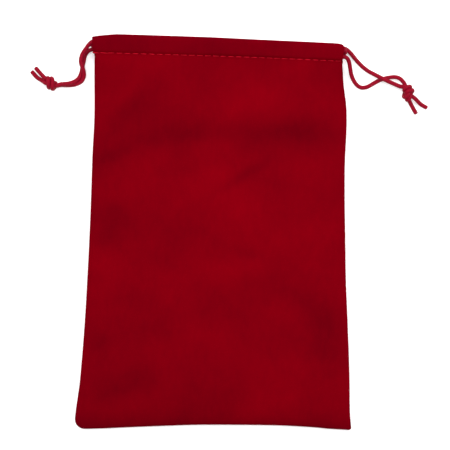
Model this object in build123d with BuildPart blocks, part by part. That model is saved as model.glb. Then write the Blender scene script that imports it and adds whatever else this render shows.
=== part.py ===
"""Drawstring dice bag, lying flat on its back panel, empty.

X runs along the mouth, +Y points from the folded bottom to the mouth, +Z points up through the
front panel.  The origin is the middle of the bag's footprint, on the surface it lies on.
One strip of velvet is folded at the bottom and seamed down both sides.  Each end of the strip is
turned over into a casing, and two drawcords run round the mouth inside both casings: one comes
out at the left, the other at the right.
"""

import os
from math import atan2, degrees, radians, tan

from build123d import *

os.makedirs("parts", exist_ok=True)

# ---- driving dimensions, mm -------------------------------------------------------------------
CLOTH = 0.8  # thickness of the velvet
MOUTH_LEFT, MOUTH_RIGHT = -62.8, 58.6  # side edges at the mouth
MIDDLE_LEFT, MIDDLE_RIGHT = -63.5, 61.2  # side edges half way down
BOTTOM_LEFT, BOTTOM_RIGHT = -67.7, 67.7  # side edges at the bottom fold
BOTTOM_DIP = -93.0  # the fold is drawn up a little between its corners
LEFT_CORNER_Y, RIGHT_CORNER_Y = -97.0, -94.0
CORNER_RADIUS = 3.5
HEM_Y = 87.2  # where each casing meets its panel
TOP_Y = 96.9  # highest point of the mouth edge

TUNNEL_HEIGHT = 2.6  # room for the cords between a casing's two layers
TUNNEL_LOW_Y, TUNNEL_HIGH_Y = 88.0, 94.6
CASING_HEIGHT = TUNNEL_HEIGHT + 2 * CLOTH
MOUTH_GAP = 4.4  # how far the mouth stands open in the middle
CORNER_GAP = 0.4  # how far it stands open at its two corners
SHOULDER = 35.0  # half the length of the casing that lies level
END_SLIT = 3.4  # the turned-in layer stops this short of each end, where the cords turn

CORD_DIAMETER = 2.0
CORD_RADIUS = CORD_DIAMETER / 2
ROOM_RADIUS = 50.0  # largest bend that stays inside a casing at its shoulders
UPPER_LANE, LOWER_LANE = 93.2, 89.4  # where the two cords lie side by side in a casing

ALLOWANCE_WIDTH = 4.5
ALLOWANCE_HEIGHT = 2 * CLOTH
STITCH_LENGTH, STITCH_PITCH = 2.7, 3.7
STITCH_WIDTH, STITCH_HEIGHT = 0.5, 0.4

# ---- values worked out from them ----------------------------------------------------------------
FRONT_MIDDLE_Z = CASING_HEIGHT + MOUTH_GAP  # underside of the front casing, in the middle
FRONT_END_Z = CASING_HEIGHT + CORNER_GAP  # and at its ends
CASING_LEFT, CASING_RIGHT = MOUTH_LEFT - 1.6, MOUTH_RIGHT
BACK_LANE_Z = CASING_HEIGHT / 2
FRONT_LANE_Z = FRONT_MIDDLE_Z + CASING_HEIGHT / 2
FRONT_LANE_END_Z = FRONT_END_Z + CASING_HEIGHT / 2


def corner_radii(points):
    """Largest tidy radius at each inner point of a cord's route that a casing leaves room for."""
    radii = []
    for before, here, after in zip(points, points[1:], points[2:]):
        first = Vector(*here) - Vector(*before)
        second = Vector(*after) - Vector(*here)
        half_turn = radians(first.get_angle(second)) / 2
        radius = 0.45 * min(first.length, second.length) / tan(half_turn)
        radii.append(min(radius, ROOM_RADIUS))
    return radii


def lay_cord(points):
    """Sweep the cord's round section along straight runs joined by tangent arcs."""
    radii = corner_radii(points)
    with BuildLine() as route:
        FilletPolyline(*points, radius=radii)
    path = route.wire()
    with BuildSketch(Plane(path @ 0, z_dir=path % 0)) as section:
        Circle(CORD_RADIUS)
    cord = sweep(sections=section.sketch, path=path)
    filled = cord.volume / (section.sketch.area * path.length)
    print(f"cord of {path.length:.1f} mm, smallest radius {min(radii):.1f} mm, filled {filled:.3f}")


def casing_band(middle_z, end_z, height):
    """Outline of a casing, or of the tunnel in it, seen from the bottom fold."""
    lower = [(CASING_LEFT, end_z), (-SHOULDER, middle_z), (SHOULDER, middle_z), (CASING_RIGHT, end_z)]
    upper = [(x, z + height) for x, z in reversed(lower)]
    return lower + upper


# Plan of a casing: its ends are the mouth corners, the right one more rounded.
MOUTH_OUTLINE = [
    (CASING_LEFT, HEM_Y),
    (CASING_LEFT, 95.3),
    (-51.0, TOP_Y),
    (-12.0, TOP_Y),
    (47.0, 95.8),
    (57.0, 95.2),
    (CASING_RIGHT, 93.9),
    (CASING_RIGHT, HEM_Y),
]


# ---- the cloth ------------------------------------------------------------------------------------
with BuildPart() as back_panel:
    with BuildSketch(Plane.XY) as back_outline:
        with BuildLine():
            left = ThreePointArc((MOUTH_LEFT, HEM_Y), (MIDDLE_LEFT, 0), (BOTTOM_LEFT, LEFT_CORNER_Y))
            fold = ThreePointArc(left @ 1, (0, BOTTOM_DIP), (BOTTOM_RIGHT, RIGHT_CORNER_Y))
            right = ThreePointArc(fold @ 1, (MIDDLE_RIGHT, 0), (MOUTH_RIGHT, HEM_Y))
            Line(right @ 1, left @ 0)
        make_face()
        fillet(back_outline.vertices().group_by(Axis.Y)[0], CORNER_RADIUS)
    extrude(amount=CLOTH)
back_panel.part.label = "back_panel"
export_step(back_panel.part, "parts/back_panel.step")

# The front panel is a shallow arch.  Each section is: y, left edge, right edge, height of the
# knee where the seam turns up, height of the level middle.
KNEE_IN = 4.0
FRONT_START_Y = -91.0
ARCH = [
    (FRONT_START_Y, -66.0, 65.6, 2.6, 3.0),
    (-76.0, -65.6, 64.8, 5.8, 9.6),
    (0.0, MIDDLE_LEFT, MIDDLE_RIGHT, 6.6, 11.2),
    (HEM_Y, MOUTH_LEFT, MOUTH_RIGHT, 7.2, 11.0),
]


def arch_section(y, left_x, right_x, knee_z, top_z, inset):
    """One cross-section of the arch on the plane at y, drawn in by inset on its inner side."""
    with BuildSketch(Plane.XZ.offset(-y)) as section:
        Polygon(
            (left_x + inset, CLOTH),
            (left_x + inset + KNEE_IN, knee_z - inset),
            (-SHOULDER, top_z - inset),
            (SHOULDER, top_z - inset),
            (right_x - inset - KNEE_IN, knee_z - inset),
            (right_x - inset, CLOTH),
            align=None,
        )
    return section.sketch


ARCH_WALL = CLOTH + 0.1  # the slanted sides keep the cloth's thickness
END_WALL = 2.0  # along Y, where the arch runs down to the fold
HOLLOW = [(FRONT_START_Y + END_WALL, *ARCH[0][1:])] + ARCH[1:]

with BuildPart() as front_panel:
    loft(sections=[arch_section(*place, inset=0) for place in ARCH], ruled=True)
    loft(
        sections=[arch_section(*place, inset=ARCH_WALL) for place in HOLLOW],
        ruled=True,
        mode=Mode.SUBTRACT,
    )
front_panel.part.label = "front_panel"
export_step(front_panel.part, "parts/front_panel.step")

with BuildPart() as bottom_fold:
    with BuildSketch(Plane.XY.offset(CLOTH)) as fold_outline:
        with BuildLine():
            fold_edge = ThreePointArc(
                (BOTTOM_LEFT + 0.4, LEFT_CORNER_Y + 0.2),
                (0, BOTTOM_DIP + 0.2),
                (BOTTOM_RIGHT - 0.4, RIGHT_CORNER_Y + 0.2),
            )
            Polyline(
                fold_edge @ 1,
                (BOTTOM_RIGHT - 1.2, FRONT_START_Y),
                (BOTTOM_LEFT + 1.2, FRONT_START_Y),
                fold_edge @ 0,
            )
        make_face()
        fillet(fold_outline.vertices().group_by(Axis.Y)[0], CORNER_RADIUS - 1)
    extrude(amount=2 * CLOTH)
bottom_fold.part.label = "bottom_fold"
export_step(bottom_fold.part, "parts/bottom_fold.step")

with BuildPart() as front_casing:
    with BuildSketch(Plane.XY.offset(FRONT_END_Z)):
        Polygon(*MOUTH_OUTLINE, align=None)
    extrude(amount=FRONT_LANE_Z + CASING_HEIGHT)
    with BuildSketch(Plane.XZ.offset(-HEM_Y)):
        Polygon(*casing_band(FRONT_MIDDLE_Z, FRONT_END_Z, CASING_HEIGHT), align=None)
    extrude(amount=HEM_Y - TOP_Y, mode=Mode.INTERSECT)
    with BuildSketch(Plane.XZ.offset(-TUNNEL_LOW_Y)):
        floor_z = FRONT_MIDDLE_Z + CLOTH
        end_floor_z = FRONT_END_Z + CLOTH
        Polygon(*casing_band(floor_z, end_floor_z, TUNNEL_HEIGHT), align=None)
        with Locations((CASING_LEFT, end_floor_z), (CASING_RIGHT, end_floor_z)):
            Rectangle(2 * END_SLIT, 2 * TUNNEL_HEIGHT)
    extrude(amount=TUNNEL_LOW_Y - TUNNEL_HIGH_Y, mode=Mode.SUBTRACT)
front_casing.part.label = "front_casing"
export_step(front_casing.part, "parts/front_casing.step")

with BuildPart() as back_casing:
    with BuildSketch(Plane.XY):
        Polygon(*MOUTH_OUTLINE, align=None)
    extrude(amount=CASING_HEIGHT)
    with BuildSketch(Plane.XZ.offset(-TUNNEL_LOW_Y)):
        Polygon(*casing_band(CLOTH, CLOTH, TUNNEL_HEIGHT), align=None)
        with Locations((CASING_LEFT, CASING_HEIGHT), (CASING_RIGHT, CASING_HEIGHT)):
            Rectangle(2 * END_SLIT, 2 * TUNNEL_HEIGHT)
    extrude(amount=TUNNEL_LOW_Y - TUNNEL_HIGH_Y, mode=Mode.SUBTRACT)
back_casing.part.label = "back_casing"
export_step(back_casing.part, "parts/back_casing.step")

# The side seams' allowances lie inside, turned in over the back panel: outer edge at the bottom,
# half way down and at the mouth.
ALLOWANCE_BOTTOM_Y, ALLOWANCE_TOP_Y = -80.0, 86.0
SEAM_IN = 3.6  # from the bag's side edge to the allowance
SEAM_YS = (ALLOWANCE_BOTTOM_Y, 0, ALLOWANCE_TOP_Y)
LEFT_SEAM = [(edge + SEAM_IN, y) for edge, y in zip((ARCH[1][1], MIDDLE_LEFT, MOUTH_LEFT), SEAM_YS)]
RIGHT_SEAM = [(edge - SEAM_IN, y) for edge, y in zip((ARCH[1][2], MIDDLE_RIGHT, MOUTH_RIGHT), SEAM_YS)]


def allowance_plan(seam, inward):
    """Plan of one allowance: from the seam line, ALLOWANCE_WIDTH inward."""
    return seam + [(x + inward * ALLOWANCE_WIDTH, y) for x, y in reversed(seam)]


with BuildPart() as left_seam_allowance:
    with BuildSketch(Plane.XY.offset(CLOTH)):
        Polygon(*allowance_plan(LEFT_SEAM, 1), align=None)
    extrude(amount=ALLOWANCE_HEIGHT)
left_seam_allowance.part.label = "left_seam_allowance"
export_step(left_seam_allowance.part, "parts/left_seam_allowance.step")

with BuildPart() as right_seam_allowance:
    with BuildSketch(Plane.XY.offset(CLOTH)):
        Polygon(*allowance_plan(RIGHT_SEAM, -1), align=None)
    extrude(amount=ALLOWANCE_HEIGHT)
right_seam_allowance.part.label = "right_seam_allowance"
export_step(right_seam_allowance.part, "parts/right_seam_allowance.step")


# ---- the thread -------------------------------------------------------------------------------------
HEM_STITCHES = 32
SEAM_STITCHES = 44
STITCH_Y = (HEM_Y + TUNNEL_LOW_Y) / 2


def front_casing_top(x):
    """Height and slope, in degrees, of the front casing's upper face at x."""
    level = FRONT_MIDDLE_Z + CASING_HEIGHT
    drop = FRONT_MIDDLE_Z - FRONT_END_Z
    if x < -SHOULDER:
        run = -SHOULDER - CASING_LEFT
        return level - drop * (-SHOULDER - x) / run, degrees(atan2(drop, run))
    if x > SHOULDER:
        run = CASING_RIGHT - SHOULDER
        return level - drop * (x - SHOULDER) / run, -degrees(atan2(drop, run))
    return level, 0


def hem_places(height_at):
    """One place for each stitch of a hem, centred on the casing."""
    places = []
    middle = (CASING_LEFT + CASING_RIGHT) / 2
    for number in range(HEM_STITCHES):
        x = middle + (number - (HEM_STITCHES - 1) / 2) * STITCH_PITCH
        z, slope = height_at(x)
        places.append(Location((x, STITCH_Y, z), (0, -slope, 0)))
    return places


with BuildPart() as front_hem_stitching:
    with Locations(*hem_places(front_casing_top)):
        Box(STITCH_LENGTH, STITCH_WIDTH, STITCH_HEIGHT)
front_hem_stitching.part.label = "front_hem_stitching"
export_step(front_hem_stitching.part, "parts/front_hem_stitching.step")

with BuildPart() as back_hem_stitching:
    with Locations(*hem_places(lambda x: (STITCH_HEIGHT / 2, 0))):
        Box(STITCH_LENGTH, STITCH_WIDTH, STITCH_HEIGHT)
back_hem_stitching.part.label = "back_hem_stitching"
export_step(back_hem_stitching.part, "parts/back_hem_stitching.step")


def seam_places(seam, inward):
    """One place for each stitch of a side seam, on top of its allowance."""
    places = []
    for (x0, y0), (x1, y1) in zip(seam, seam[1:]):
        lean = -degrees(atan2(x1 - x0, y1 - y0))
        for number in range(SEAM_STITCHES // 2):
            share = (number + 0.5) / (SEAM_STITCHES // 2)
            x = x0 + (x1 - x0) * share + inward * STITCH_WIDTH * 1.5
            y = y0 + (y1 - y0) * share
            places.append(Location((x, y, CLOTH + ALLOWANCE_HEIGHT), (0, 0, lean)))
    return places


with BuildPart() as left_seam_stitching:
    with Locations(*seam_places(LEFT_SEAM, 1)):
        Box(STITCH_WIDTH, STITCH_LENGTH, STITCH_HEIGHT)
left_seam_stitching.part.label = "left_seam_stitching"
export_step(left_seam_stitching.part, "parts/left_seam_stitching.step")

with BuildPart() as right_seam_stitching:
    with Locations(*seam_places(RIGHT_SEAM, -1)):
        Box(STITCH_WIDTH, STITCH_LENGTH, STITCH_HEIGHT)
right_seam_stitching.part.label = "right_seam_stitching"
export_step(right_seam_stitching.part, "parts/right_seam_stitching.step")


# ---- the cords ----------------------------------------------------------------------------------------
# Each cord starts in its knot, goes into one casing, round the far mouth corner, back through the
# other casing and out to the knot again.  In the casings the two cords keep to opposite lanes.
FAR_RIGHT, FAR_LEFT = CASING_RIGHT + 0.6, CASING_LEFT - 0.4  # where each cord turns back

LEFT_UPPER_STRAND = [
    (-82.2, 71.0, 2.6),
    (-77.6, 70.8, 1.5),
    (-73.2, 70.9, 1.0),
    (-68.6, 71.9, 1.2),
    (-67.3, 75.2, 2.4),
    (-69.0, 78.6, 3.7),
    (-71.0, 82.0, 3.9),
    (-71.2, 86.2, 4.2),
    (-68.0, 90.8, 5.4),
    (-65.8, UPPER_LANE, FRONT_LANE_END_Z),
]
LEFT_LOWER_STRAND = [
    (-66.0, LOWER_LANE, BACK_LANE_Z),
    (-67.8, 87.2, 1.4),
    (-68.2, 84.2, 1.0),
    (-69.0, 81.0, 1.0),
    (-70.9, 78.0, 1.0),
    (-72.8, 75.1, 1.0),
    (-76.2, 73.2, 1.1),
    (-79.4, 73.0, 1.8),
    (-82.6, 73.1, 2.8),
]
RIGHT_LOWER_STRAND = [
    (90.4, 75.2, 3.2),
    (88.6, 77.9, 2.4),
    (86.0, 80.4, 1.4),
    (81.6, 80.2, 1.0),
    (77.2, 78.8, 1.0),
    (73.4, 76.2, 1.0),
    (69.6, 74.2, 1.0),
    (66.2, 75.2, 1.0),
    (63.4, 78.0, 1.4),
    (62.4, 82.2, 2.6),
    (61.9, 86.6, 4.6),
    (60.0, LOWER_LANE, FRONT_LANE_END_Z),
]
RIGHT_UPPER_STRAND = [
    (60.6, UPPER_LANE, BACK_LANE_Z),
    (63.2, 90.4, 1.4),
    (66.6, 86.2, 1.0),
    (70.6, 82.8, 1.6),
    (75.0, 80.7, 3.5),
    (80.0, 78.3, 3.6),
    (84.4, 76.6, 2.6),
    (88.8, 74.8, 3.0),
]

with BuildPart() as left_drawcord:
    lay_cord(
        LEFT_UPPER_STRAND
        + [
            (-SHOULDER, UPPER_LANE, FRONT_LANE_Z),
            (SHOULDER, UPPER_LANE, FRONT_LANE_Z),
            (FAR_RIGHT, UPPER_LANE, FRONT_LANE_END_Z),
            (FAR_RIGHT, LOWER_LANE, BACK_LANE_Z),
        ]
        + LEFT_LOWER_STRAND
    )
left_drawcord.part.label = "left_drawcord"
export_step(left_drawcord.part, "parts/left_drawcord.step")

with BuildPart() as right_drawcord:
    lay_cord(
        RIGHT_LOWER_STRAND
        + [
            (SHOULDER, LOWER_LANE, FRONT_LANE_Z),
            (-SHOULDER, LOWER_LANE, FRONT_LANE_Z),
            (FAR_LEFT, LOWER_LANE, FRONT_LANE_END_Z),
            (FAR_LEFT, UPPER_LANE, BACK_LANE_Z),
        ]
        + RIGHT_UPPER_STRAND
    )
right_drawcord.part.label = "right_drawcord"
export_step(right_drawcord.part, "parts/right_drawcord.step")


KNOT_ROUNDING = 1.9


def tie_knot(middle, toward, half_length, half_width):
    """The outer shape of a tight overhand knot: a small barrel along the cord."""
    with BuildSketch(Plane(middle, x_dir=toward, z_dir=(0, 0, 1))) as half:
        Rectangle(2 * half_length, half_width, align=(Align.CENTER, Align.MIN))
        fillet(half.vertices().group_by(Axis.Y)[-1], KNOT_ROUNDING)
    revolve(profiles=half.sketch, axis=Axis(middle, toward))


with BuildPart() as left_cord_knot:
    tie_knot((-84.5, 71.9, 3.2), (-0.96, 0.28, 0), half_length=3.0, half_width=3.2)
left_cord_knot.part.label = "left_cord_knot"
export_step(left_cord_knot.part, "parts/left_cord_knot.step")

with BuildPart() as right_cord_knot:
    tie_knot((91.1, 72.4, 3.5), (0.6, -0.8, 0), half_length=3.2, half_width=3.5)
right_cord_knot.part.label = "right_cord_knot"
export_step(right_cord_knot.part, "parts/right_cord_knot.step")

with BuildPart() as left_cord_tails:
    lay_cord([(-85.6, 72.0, 2.6), (-88.6, 73.0, 2.2), (-91.6, 74.8, 1.2), (-94.4, 77.7, 1.0)])
    lay_cord([(-85.0, 72.9, 4.4), (-87.4, 74.5, 4.0), (-89.8, 76.6, 2.2), (-92.5, 79.5, 1.0)])
left_cord_tails.part.label = "left_cord_tails"
export_step(left_cord_tails.part, "parts/left_cord_tails.step")

with BuildPart() as right_cord_tails:
    lay_cord([(92.0, 72.2, 3.9), (94.2, 70.1, 3.4), (97.4, 67.3, 1.6), (100.8, 65.4, 1.0)])
    lay_cord([(90.8, 71.4, 2.4), (91.9, 68.6, 1.8), (93.8, 65.2, 1.0), (95.6, 62.3, 1.0)])
right_cord_tails.part.label = "right_cord_tails"
export_step(right_cord_tails.part, "parts/right_cord_tails.step")
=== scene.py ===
# %% [markdown]
# # A drawstring dice bag in velvet
# The bag lies empty on a table, on its back panel.  One strip of velvet is folded at the bottom
# and seamed down both sides; each end of the strip is turned over into a casing, and two cords
# run round the mouth inside both casings.  We load the measured model first, because every
# piece below has to sit where that model says.

# %% Load the frame
import math
from functools import partial

import bpy
import numpy as np
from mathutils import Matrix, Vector


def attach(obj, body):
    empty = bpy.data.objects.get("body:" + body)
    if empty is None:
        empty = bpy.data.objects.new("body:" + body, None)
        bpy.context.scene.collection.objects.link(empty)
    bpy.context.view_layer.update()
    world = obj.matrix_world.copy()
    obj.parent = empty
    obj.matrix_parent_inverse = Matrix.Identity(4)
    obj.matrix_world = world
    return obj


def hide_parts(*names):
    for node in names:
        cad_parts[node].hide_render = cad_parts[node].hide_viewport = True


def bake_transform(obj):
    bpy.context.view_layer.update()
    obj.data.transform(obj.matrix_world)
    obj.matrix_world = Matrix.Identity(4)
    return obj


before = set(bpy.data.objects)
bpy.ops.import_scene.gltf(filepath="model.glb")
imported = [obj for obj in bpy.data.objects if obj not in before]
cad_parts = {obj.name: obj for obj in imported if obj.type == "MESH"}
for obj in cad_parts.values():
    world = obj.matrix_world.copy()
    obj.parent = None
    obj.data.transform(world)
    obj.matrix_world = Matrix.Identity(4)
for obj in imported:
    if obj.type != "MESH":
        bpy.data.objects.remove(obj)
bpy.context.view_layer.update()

# %% [markdown]
# Sizes of a small sewn thing are easiest to think about in millimetres, while Blender works in
# metres.  One constant turns one into the other, and one function makes every mesh object.

# %% Millimetres and a mesh helper
MM = 0.001


def metres(place):
    return [c * MM for c in place]


def make_object(name, points, faces, edges=()):
    """A mesh object from points in millimetres."""
    mesh = bpy.data.meshes.new(name)
    mesh.from_pydata((np.array(points, float) * MM).tolist(), list(edges), faces)
    mesh.update()
    made = bpy.data.objects.new(name, mesh)
    bpy.context.scene.collection.objects.link(made)
    return made


def give_uvs(made, name, uvs):
    """A UV map with one pair for each corner of each face, in mm."""
    layer = made.data.uv_layers.new(name=name)
    layer.data.foreach_set("uv", np.array(uvs).astype(np.float32).ravel())


def bake_modifiers(made):
    """Turns what the modifiers show into the object's own plain mesh."""
    graph = bpy.context.evaluated_depsgraph_get()
    plain = bpy.data.meshes.new_from_object(made.evaluated_get(graph))
    made.modifiers.clear()
    made.data = plain


# %% [markdown]
# ## Camera
# The bag is seen from straight above, a touch turned, through a long lens, so that nothing looks
# nearer than it is.  The lens is worked out from how wide a stretch of table it has to take in.

# %% The camera
VIEW_WIDTH, VIEW_HEIGHT = 221.2, 1600.0  # mm
VIEW_MIDDLE = (3.09, 4.88)
VIEW_TURN = 1.72  # degrees
CLOTH_TOP = 3.0  # mm; the view is measured at about the height of the bag's sides
SENSOR = 36.0

eye = bpy.data.cameras.new("camera")
eye.sensor_width = SENSOR
eye.lens = SENSOR * VIEW_HEIGHT / VIEW_WIDTH
eye.clip_end = 20
camera = bpy.data.objects.new("camera", eye)
camera.location = Vector((*VIEW_MIDDLE, VIEW_HEIGHT + CLOTH_TOP)) * MM
camera.rotation_euler = (0, 0, math.radians(VIEW_TURN))
bpy.context.scene.collection.objects.link(camera)
bpy.context.scene.camera = camera
print("lens", round(eye.lens), "mm")

# %% [markdown]
# ## The two drawcords
# Each cord is a soft braid 2 mm thick.  It leaves its knot, goes in at one corner of the mouth,
# runs through the front casing, turns round at the far corner, comes back through the back
# casing and returns to the knot.  A NURBS curve suits a limp cord: its control points are few,
# and the line between them has no kinks.

# %% Routes of the cords, knot to knot
CORD_RADIUS = 1.0
LANE_MIDDLE_Z = 6.8  # the cords run almost level, so they can slide without leaving the tunnel
LEFT_ROUTE = [
    (-82.0, 71.5, 2.6), (-78.5, 71.3, 1.4), (-75.0, 71.3, 1.0), (-71.6, 72.0, 1.0),
    (-69.2, 73.7, 1.1), (-68.2, 76.6, 1.9), (-69.0, 79.7, 3.5), (-70.4, 83.0, 3.8),
    (-69.7, 86.4, 4.4), (-67.6, 89.5, 5.6), (-65.0, 93.2, 6.7), (-60.0, 93.3, 6.8),
    (-35, 93.2, LANE_MIDDLE_Z), (35, 93.2, LANE_MIDDLE_Z), (59.6, 93.2, 6.7), (59.6, 89.8, 2.1),
    (35, 89.8, 2.1), (-58.0, 89.8, 2.1), (-64.0, 89.4, 2.1), (-66.5, 88.8, 1.9),
    (-68.4, 86.4, 1.2), (-68.8, 83.2, 1.0), (-69.4, 80.2, 1.0), (-69.9, 77.1, 1.0),
    (-71.0, 74.7, 1.3), (-73.2, 72.9, 2.3), (-76.4, 71.9, 3.1), (-79.6, 71.8, 3.4),
    (-82.6, 72.2, 3.8),
]
RIGHT_ROUTE = [
    (90.4, 75.2, 3.2), (88.6, 78.2, 2.4), (85.8, 80.3, 1.4), (81.8, 80.0, 1.0),
    (77.4, 78.7, 1.0), (74.0, 76.7, 1.0), (71.0, 74.7, 1.0), (67.6, 74.3, 1.0),
    (64.9, 76.5, 1.1), (63.0, 80.2, 1.8), (62.2, 84.0, 3.6), (61.4, 87.7, 5.4),
    (59.2, 89.6, 6.6), (35, 89.8, LANE_MIDDLE_Z), (-35, 89.8, LANE_MIDDLE_Z), (-64.9, 89.8, 6.7),
    (-64.9, 92.9, 2.1), (55.0, 92.9, 2.1), (59.3, 93.8, 2.1), (62.2, 91.5, 1.5),
    (66.1, 86.8, 1.0), (70.4, 83.0, 1.6), (75.0, 80.7, 3.5), (80.0, 78.3, 3.6),
    (84.4, 76.6, 2.6), (88.8, 74.8, 3.0),
]


def centreline(name, route, step=0.25):
    """Points a fixed step apart, in mm, along the NURBS curve of a route."""
    curve = bpy.data.curves.new(name, "CURVE")
    curve.dimensions = "3D"
    curve.resolution_u = 24
    spline = curve.splines.new("NURBS")
    spline.points.add(len(route) - 1)
    for point, place in zip(spline.points, route):
        point.co = (*metres(place), 1)
    spline.order_u = 3
    spline.use_endpoint_u = True
    holder = bpy.data.objects.new(name, curve)
    bpy.context.scene.collection.objects.link(holder)
    bpy.context.view_layer.update()
    line = bpy.data.meshes.new_from_object(holder)
    points = np.array([v.co for v in line.vertices]) / MM
    bpy.data.objects.remove(holder)
    bpy.data.meshes.remove(line)
    return even_steps(points, step)


def run_along(points):
    """How far along the line each of its points is."""
    return np.concatenate([[0], np.cumsum(np.linalg.norm(np.diff(points, axis=0), axis=1))])


def even_steps(points, step):
    """The same line with its points an even step apart."""
    run = run_along(points)
    at = np.linspace(0, run[-1], max(int(round(run[-1] / step)), 2) + 1)
    return np.stack([np.interp(at, run, points[:, i]) for i in range(3)], 1)


def length_of(points):
    return float(np.linalg.norm(np.diff(points, axis=0), axis=1).sum())


left_line = centreline("left cord", LEFT_ROUTE)
right_line = centreline("right cord", RIGHT_ROUTE)
print("left cord", round(length_of(left_line), 1), "mm, right cord", round(length_of(right_line), 1))

# %% [markdown]
# A braided cord has strands that wind both ways round it and pass over and under each other.
# A plain round tube would look like wire, so the tube's skin is raised and lowered by the two
# families of strands.  The tube also gets a UV map in millimetres, round it and along it, so
# that fine threads can follow the cord wherever it bends.

# %% A braided tube
TUBE_SIDES = 24
STRANDS = 6  # in each direction
BRAID_PITCH = 6.6  # mm along the cord for one turn of a strand
RELIEF = 0.055  # of the radius, for a braid height of 1
END_ROUNDING = 0.7  # mm of a cut tail that narrows
END_WIDTH = 0.66  # of the full width, at the very tip


def braid_height(angle, along):
    """Height of the braid over the cord's mean radius, from -1 to 1."""
    one = STRANDS * (angle / (2 * np.pi) + along / BRAID_PITCH)
    other = STRANDS * (angle / (2 * np.pi) - along / BRAID_PITCH)
    over = np.cos(np.pi * np.floor(one)) * np.cos(np.pi * np.floor(other)) > 0
    crown_one = np.sin(np.pi * (one % 1)) ** 0.7
    crown_other = np.sin(np.pi * (other % 1)) ** 0.7
    return np.where(over, crown_one, crown_other) * 1.6 - 1.0


def carry_frames(points):
    """Two directions across the line at each point, carried along without twist."""
    ahead = np.gradient(points, axis=0)
    ahead /= np.linalg.norm(ahead, axis=1)[:, None]
    across = np.zeros_like(points)
    hand = np.array([0.0, 0.0, 1.0])
    if abs(ahead[0] @ hand) > 0.9:
        hand = np.array([1.0, 0.0, 0.0])
    for i, t in enumerate(ahead):
        hand = hand - t * (t @ hand)
        hand /= np.linalg.norm(hand)
        across[i] = hand
    return across, np.cross(ahead, across)


def braided_tube(name, lines, starts, round_ends=(False, False)):
    """One object with a braided tube along each line; the braid is counted on from its start."""
    points, faces, uvs = [], [], []
    for line, start in zip(lines, starts):
        across, up = carry_frames(line)
        along = run_along(line) + start
        angle = np.arange(TUBE_SIDES) / TUBE_SIDES * 2 * np.pi
        radius = CORD_RADIUS * (1 + RELIEF * braid_height(angle[None, :], along[:, None]))
        taper = np.ones(len(line))
        for end, rounded in zip((0, -1), round_ends):
            if rounded:
                reach = np.clip(np.abs(along - along[end]) / END_ROUNDING, 0, 1)
                taper *= END_WIDTH + (1 - END_WIDTH) * np.sqrt(1 - (1 - reach) ** 2)
        radius *= taper[:, None]
        ring = (line[:, None] + across[:, None] * (np.cos(angle) * radius)[..., None]
                + up[:, None] * (np.sin(angle) * radius)[..., None])
        base = len(points)
        points.extend(ring.reshape(-1, 3))
        for i in range(len(line) - 1):
            for j in range(TUBE_SIDES):
                cell = [(i, j), (i + 1, j), (i + 1, j + 1), (i, j + 1)]
                faces.append([base + r * TUBE_SIDES + c % TUBE_SIDES for r, c in cell])
                uvs.extend([(c / TUBE_SIDES, along[r]) for r, c in cell])
        for row, way in ((0, 1), (len(line) - 1, -1)):  # the two flat ends
            first = base + row * TUBE_SIDES
            faces.append(list(range(first, first + TUBE_SIDES))[::way])
            uvs.extend([(j / TUBE_SIDES, along[row]) for j in range(TUBE_SIDES)])
    made = make_object(name, points, faces)
    give_uvs(made, "braid", np.array(uvs) * (2 * np.pi * CORD_RADIUS, 1.0))
    made.data.shade_smooth()
    made.data.set_sharp_from_angle(angle=math.radians(60))
    return made


print("braid cells", round(2 * np.pi * CORD_RADIUS / STRANDS, 2), "mm round,",
      round(BRAID_PITCH / STRANDS, 2), "mm along")

# %% [markdown]
# ## Tying the knots
# The two strands of a cord leave the bag side by side and are tied together in one overhand
# knot.  Drawing a tight knot by eye never looks right, because every turn has to touch its
# neighbours.  So a loose doubled knot is given as a list of points, and then pulled: beads along both
# strands keep their spacing, push each other apart when they touch, and follow the pulled ends.

# %% A loose overhand knot, and pulling it tight
LOOSE_KNOT = np.array([
    (16, 0, 0), (9, 0, 0), (3, 0, -0.5), (-3, 0, 0.5), (-7, 3, -1.5), (-7, 9, -1.0), (0, 12.5, 0),
    (7, 10, 1), (8, 4, 2.5), (5, -1, 3.5), (1, -5, 0.5), (-2.5, -4, -3.5), (-2.5, 1, -4),
    (-1.5, 5, -0.5), (-6, 6.5, 3.5), (-11, 5, 2), (-16, 1, 0),
]) * 1.25


def smooth_through(points, step):
    """A smooth line through the points, resampled to an even step."""
    p = np.vstack([2 * points[0] - points[1], points, 2 * points[-1] - points[-2]])
    t = np.linspace(0, 1, 16, endpoint=False)[:, None]
    runs = []
    for a, b, c, d in zip(p, p[1:], p[2:], p[3:]):
        runs.append(0.5 * (2 * b + (c - a) * t + (2 * a - 5 * b + 4 * c - d) * t**2
                           + (3 * b - a - 3 * c + d) * t**3))
    return even_steps(np.vstack(runs + [p[-2:-1]]), step)


BEAD_STEP = 0.9
THICK = 2 * CORD_RADIUS
APART = 0.51 * THICK  # from the middle line to each strand
SWEEPS = 6  # corrections in each round
SHARPEST = 1.72  # steps between a bead and the next but one, in the tightest bend
PUSH = 1.3  # a little more than what just parts two touching beads


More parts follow.
